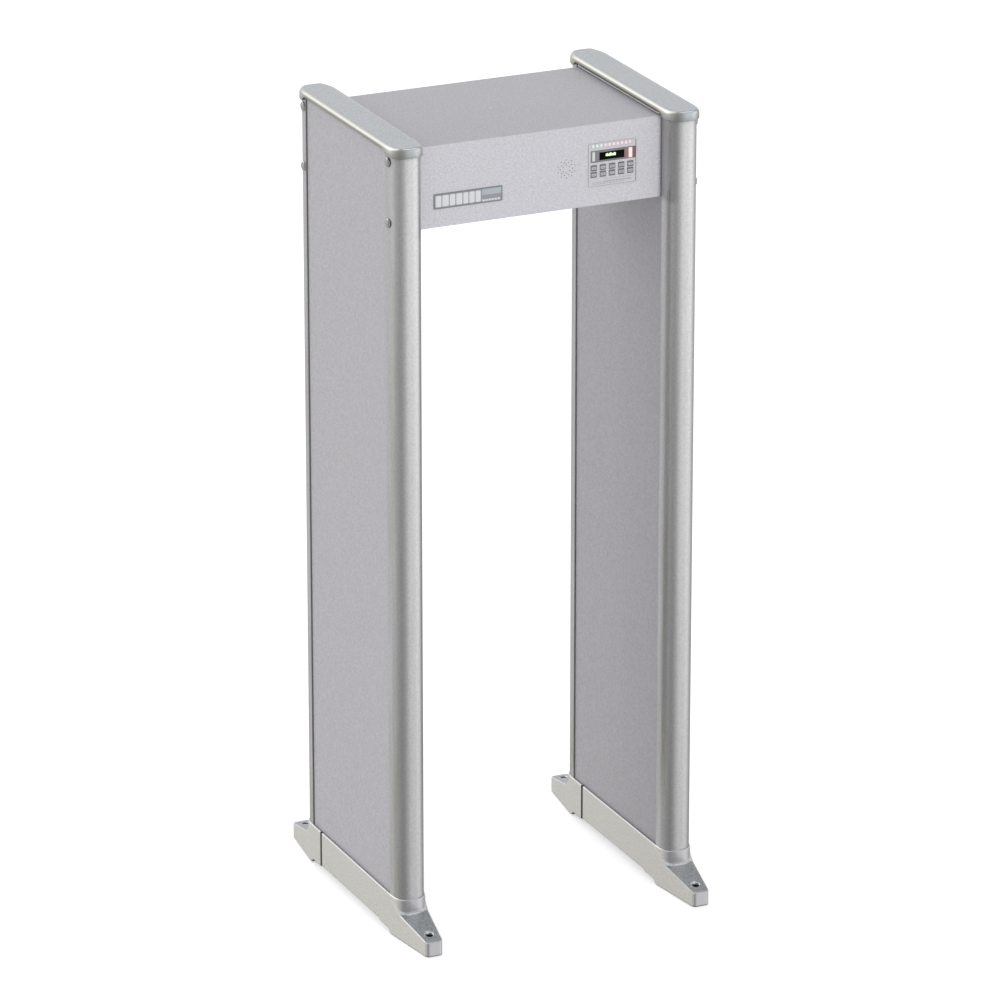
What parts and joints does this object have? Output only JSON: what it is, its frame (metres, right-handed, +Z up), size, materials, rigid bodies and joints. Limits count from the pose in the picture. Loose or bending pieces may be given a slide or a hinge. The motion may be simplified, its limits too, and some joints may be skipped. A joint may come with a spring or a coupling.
{
  "type": "walk-through security gate",
  "caption": "Walk-through detector arch: two coil panels with rounded metal edges and bolt-down feet, joined by a header box with a keypad, display and rear access door.",
  "frame": {"origin": "on the floor, midway between the two side panels and midway from front to rear", "axes": "+X to the right when facing the control panel, +Y from front to rear along the walking direction, +Z up"},
  "size_m": [0.9096, 0.9268, 2.2493],
  "materials": {
    "laminate_skin": "satin grey laminate",
    "panel_foam": "plain rigid foam",
    "coil_copper": "enamelled copper winding",
    "edge_profile_metal": "satin anodised",
    "bracket_steel": "plated",
    "bolt_metal": "polished domes",
    "cap_plastic": "smooth light grey",
    "foot_casting": "satin light grey casting",
    "seam_rubber": "matt black",
    "header_paint": "smooth light grey",
    "bright_steel": "plated",
    "panel_overlay": "satin overlay",
    "key_plastic": "grey with dark outline",
    "display_black": "glossy smoked window",
    "circuit_board": "green board",
    "ready_lens": "frosted pale lens",
    "alarm_lens": "frosted red lens",
    "led_lens": "frosted clear strip",
    "nameplate_metal": "plain grey plate",
    "supply_case": "plated case",
    "black_plastic": "matt black",
    "plug_plastic": "light grey"
  },
  "bodies": {
    "gate_frame": {"left_outer_skin": "laminate_skin", "left_inner_skin": "laminate_skin", "left_core": "panel_foam", "left_coil_winding": "coil_copper", "left_front_profile": "edge_profile_metal", "left_rear_profile": "edge_profile_metal", "left_header_bracket": "bracket_steel", "left_bolt_front_lower": "bolt_metal", "left_bolt_front_upper": "bolt_metal", "left_bolt_rear_lower": "bolt_metal", "left_bolt_rear_upper": "bolt_metal", "left_top_cap": "cap_plastic", "left_foot_front": "foot_casting", "left_foot_rear": "foot_casting", "left_foot_seam_strip": "seam_rubber", "right_outer_skin": "laminate_skin", "right_inner_skin": "laminate_skin", "right_core": "panel_foam", "right_coil_winding": "coil_copper", "right_front_profile": "edge_profile_metal", "right_rear_profile": "edge_profile_metal", "right_header_bracket": "bracket_steel", "right_bolt_front_lower": "bolt_metal", "right_bolt_front_upper": "bolt_metal", "right_bolt_rear_lower": "bolt_metal", "right_bolt_rear_upper": "bolt_metal", "right_top_cap": "cap_plastic", "right_foot_front": "foot_casting", "right_foot_rear": "foot_casting", "right_foot_seam_strip": "seam_rubber", "header_shell": "header_paint", "door_hinge_pin": "bright_steel", "chassis_tray": "bright_steel", "control_bezel": "panel_overlay", "display_window": "display_black", "display_module": "circuit_board", "keypad_board": "circuit_board", "main_board": "circuit_board", "ready_lamp": "ready_lens", "alarm_lamp": "alarm_lens", "led_bar": "led_lens", "nameplate": "nameplate_metal", "power_supply": "supply_case", "speaker": "black_plastic", "mains_inlet": "black_plastic", "control_cable": "black_plastic", "port_plug": "plug_plastic"},
    "access_door": {"rear_door": "header_paint"},
    "door_lock": {"lock_barrel": "bright_steel", "lock_cam": "bright_steel"},
    "button_1": {"key_1": "key_plastic"},
    "button_2": {"key_2": "key_plastic"},
    "button_3": {"key_3": "key_plastic"},
    "button_4": {"key_4": "key_plastic"},
    "button_5": {"key_5": "key_plastic"},
    "button_6": {"key_6": "key_plastic"},
    "button_7": {"key_7": "key_plastic"},
    "button_8": {"key_8": "key_plastic"},
    "button_9": {"key_9": "key_plastic"},
    "button_10": {"key_10": "key_plastic"}
  },
  "joints": [
    {"name": "access_door_hinge", "type": "hinge", "parent": "gate_frame", "child": "access_door", "pos_m": [0, 0.259, 2.001], "axis": [-1, 0, 0], "range_deg": [0, 110]},
    {"name": "lock_turn", "type": "hinge", "parent": "access_door", "child": "door_lock", "pos_m": [0, 0.254, 2.19], "axis": [0, -1, 0], "range_deg": [0, 90]},
    {"name": "button_1_press", "type": "slide", "parent": "gate_frame", "child": "button_1", "axis": [0, 1, 0], "range_m": [0, 0.001]},
    {"name": "button_2_press", "type": "slide", "parent": "gate_frame", "child": "button_2", "axis": [0, 1, 0], "range_m": [0, 0.001]},
    {"name": "button_3_press", "type": "slide", "parent": "gate_frame", "child": "button_3", "axis": [0, 1, 0], "range_m": [0, 0.001]},
    {"name": "button_4_press", "type": "slide", "parent": "gate_frame", "child": "button_4", "axis": [0, 1, 0], "range_m": [0, 0.001]},
    {"name": "button_5_press", "type": "slide", "parent": "gate_frame", "child": "button_5", "axis": [0, 1, 0], "range_m": [0, 0.001]},
    {"name": "button_6_press", "type": "slide", "parent": "gate_frame", "child": "button_6", "axis": [0, 1, 0], "range_m": [0, 0.001]},
    {"name": "button_7_press", "type": "slide", "parent": "gate_frame", "child": "button_7", "axis": [0, 1, 0], "range_m": [0, 0.001]},
    {"name": "button_8_press", "type": "slide", "parent": "gate_frame", "child": "button_8", "axis": [0, 1, 0], "range_m": [0, 0.001]},
    {"name": "button_9_press", "type": "slide", "parent": "gate_frame", "child": "button_9", "axis": [0, 1, 0], "range_m": [0, 0.001]},
    {"name": "button_10_press", "type": "slide", "parent": "gate_frame", "child": "button_10", "axis": [0, 1, 0], "range_m": [0, 0.001]}
  ]
}
